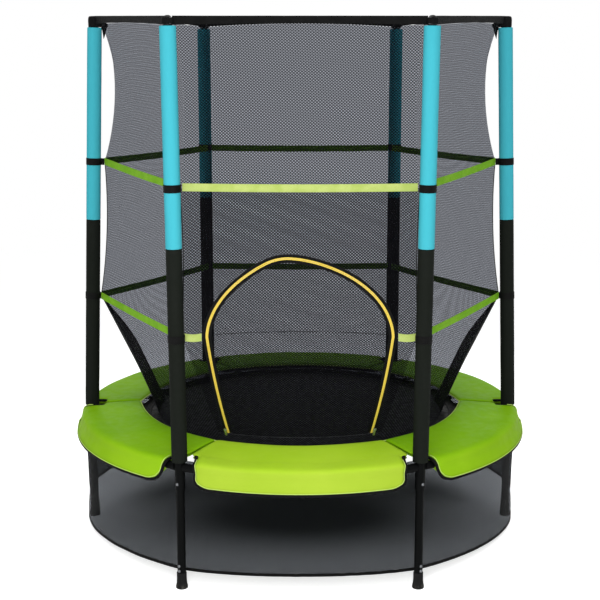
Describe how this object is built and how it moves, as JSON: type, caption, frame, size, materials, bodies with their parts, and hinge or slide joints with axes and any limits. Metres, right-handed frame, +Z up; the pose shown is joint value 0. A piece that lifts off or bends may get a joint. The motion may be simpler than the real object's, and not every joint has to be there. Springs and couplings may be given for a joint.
{
  "type": "trampoline with safety net",
  "caption": "Round children's trampoline: legged steel ring, sprung jumping mat, padded edge cover, foam-sleeved poles, enclosure net with zipped arch door, lower ground net.",
  "frame": {"origin": "centre of the floor footprint, on the plane the feet stand on", "axes": "+Z up, -Y towards the door and the viewer, +X to the viewer's right"},
  "size_m": [1.44, 1.452, 1.6301],
  "materials": {
    "frame_black": "satin powder coat",
    "rubber_black": "matte moulded",
    "zinc_bright": "bright zinc",
    "foam_black": "fine skinned foam",
    "foam_teal": "fine skinned foam",
    "cap_black": "moulded",
    "mat_black": "woven polypropylene",
    "webbing_black": "flat woven webbing",
    "webbing_green": "flat woven webbing",
    "pad_green": "coated fabric, soft sheen",
    "net_black": "knitted mesh",
    "skirt_mesh": "fine knitted mesh",
    "zip_yellow": "coil zip on woven tape"
  },
  "bodies": {
    "root": {"frame_tube_1": "frame_black", "leg_socket_1": "frame_black", "leg_1": "frame_black", "lower_pole_1": "frame_black", "upper_pole_1": "frame_black", "pad_panel_1": "pad_green", "frame_tube_2": "frame_black", "leg_socket_2": "frame_black", "leg_2": "frame_black", "lower_pole_2": "frame_black", "upper_pole_2": "frame_black", "pad_panel_2": "pad_green", "frame_tube_3": "frame_black", "leg_socket_3": "frame_black", "leg_3": "frame_black", "lower_pole_3": "frame_black", "upper_pole_3": "frame_black", "pad_panel_3": "pad_green", "frame_tube_4": "frame_black", "leg_socket_4": "frame_black", "leg_4": "frame_black", "lower_pole_4": "frame_black", "upper_pole_4": "frame_black", "pad_panel_4": "pad_green", "frame_tube_5": "frame_black", "leg_socket_5": "frame_black", "leg_5": "frame_black", "lower_pole_5": "frame_black", "upper_pole_5": "frame_black", "pad_panel_5": "pad_green", "frame_tube_6": "frame_black", "leg_socket_6": "frame_black", "leg_6": "frame_black", "lower_pole_6": "frame_black", "upper_pole_6": "frame_black", "pad_panel_6": "pad_green", "rubber_feet": "rubber_black", "frame_bolts": "zinc_bright", "lower_foam_sleeves": "foam_black", "upper_foam_sleeves": "foam_teal", "pole_caps": "cap_black", "springs": "zinc_bright", "net_top_tier": "net_black", "net_middle_tier": "net_black", "net_lower_tier": "net_black", "net_front": "net_black", "zip_outer_half": "zip_yellow", "top_band": "webbing_black", "net_webbing": "webbing_green", "strap_ties": "webbing_black", "skirt": "skirt_mesh", "skirt_hem": "webbing_black"},
    "mat": {"mat": "mat_black", "mat_edge_band": "webbing_black", "mat_rings": "zinc_bright"},
    "door": {"net_door": "net_black", "zip_inner_half": "zip_yellow"},
    "slider_left": {"zip_slider_left": "zinc_bright"},
    "slider_right": {"zip_slider_right": "zinc_bright"}
  },
  "joints": [
    {"name": "mat_bounce", "type": "slide", "parent": "root", "child": "mat", "axis": [0, 0, 1], "range_m": [-0.1, 0], "stiffness_N_per_m": 3000, "springref_m": 0.02, "deforming": ["springs"]},
    {"name": "door_swing", "type": "hinge", "parent": "root", "child": "door", "pos_m": [0, -0.4748, 0.4175], "axis": [1, 0, 0], "range_deg": [0, 70]},
    {"name": "zip_left_travel", "type": "slide", "parent": "root", "child": "slider_left", "axis": [-0.173, -0.4046, 0.898], "range_m": [0, 0.13]},
    {"name": "zip_right_travel", "type": "slide", "parent": "root", "child": "slider_right", "axis": [0.173, -0.4046, 0.898], "range_m": [0, 0.13]}
  ]
}
